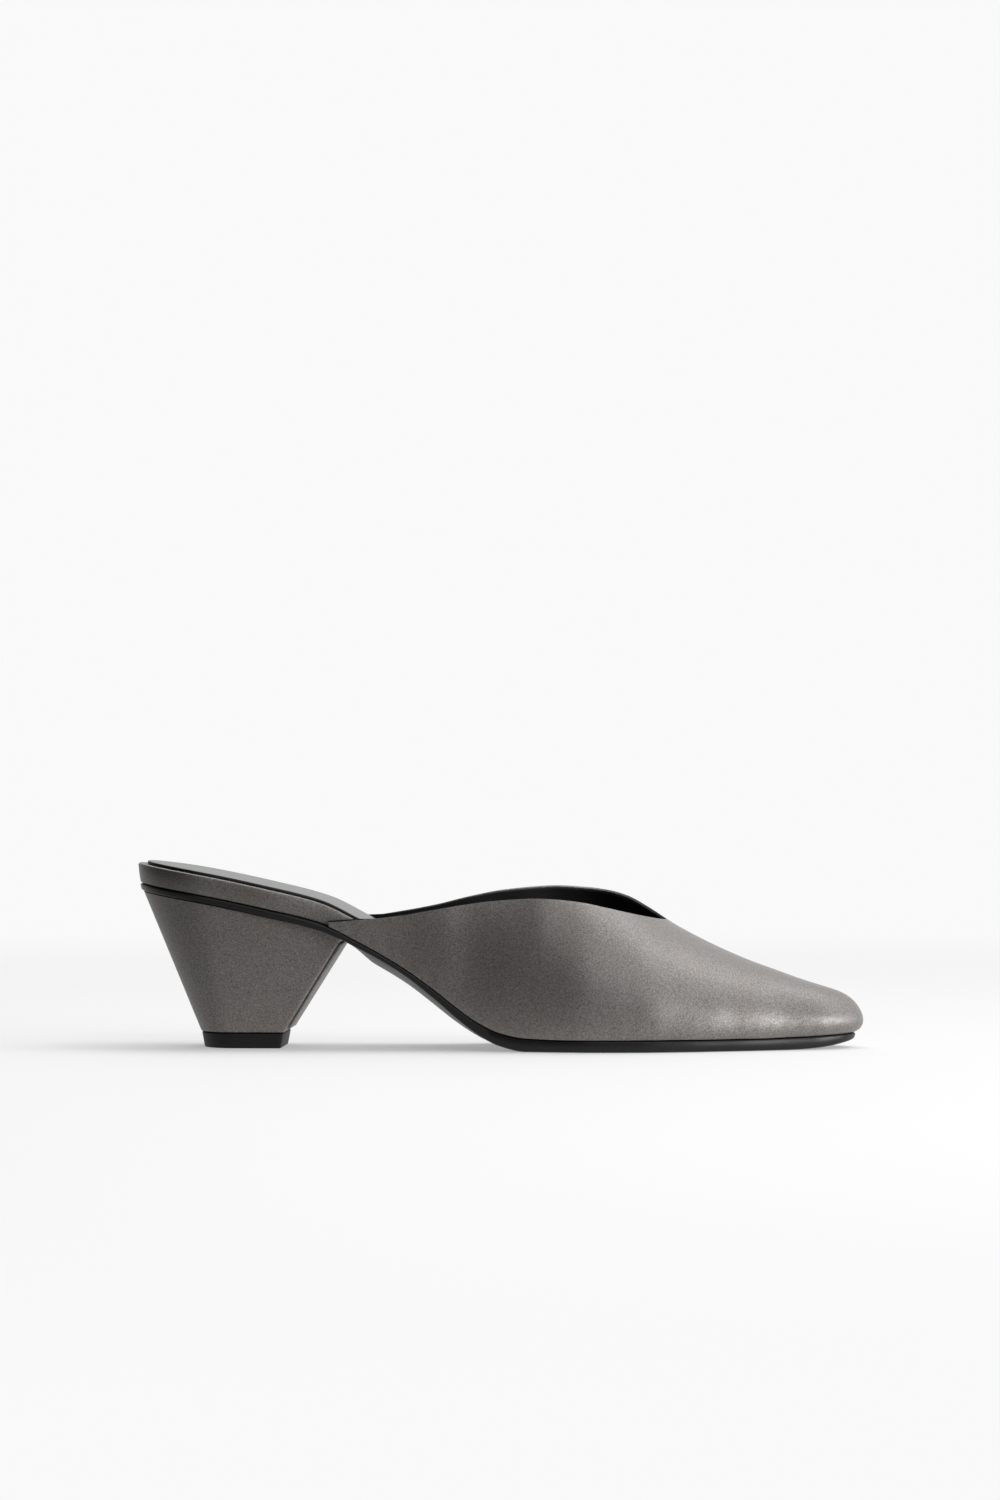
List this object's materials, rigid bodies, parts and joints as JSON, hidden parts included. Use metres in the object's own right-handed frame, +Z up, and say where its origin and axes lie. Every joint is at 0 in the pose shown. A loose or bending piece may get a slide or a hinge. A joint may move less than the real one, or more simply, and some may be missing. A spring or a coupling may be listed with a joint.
{
  "type": "cone heel mule",
  "caption": "Right-foot backless mule in grey satin with an almond toe, a V throat and a satin-covered cone heel.",
  "frame": {"origin": "bottom centre of the shoe's box, on the floor", "axes": "+X towards the toe, +Z up, the outer side of the right foot at -Y"},
  "size_m": [0.2468, 0.0788, 0.0633],
  "materials": {
    "satin": "satin",
    "lining": "matte",
    "sock": "satin",
    "rubber": "matte"
  },
  "bodies": {
    "root": {"outsole": "rubber", "insole_board": "satin", "insole_sock": "sock", "upper": "satin", "heel": "satin", "heel_breast_cover": "satin", "heel_tip": "rubber"}
  },
  "joints": []
}
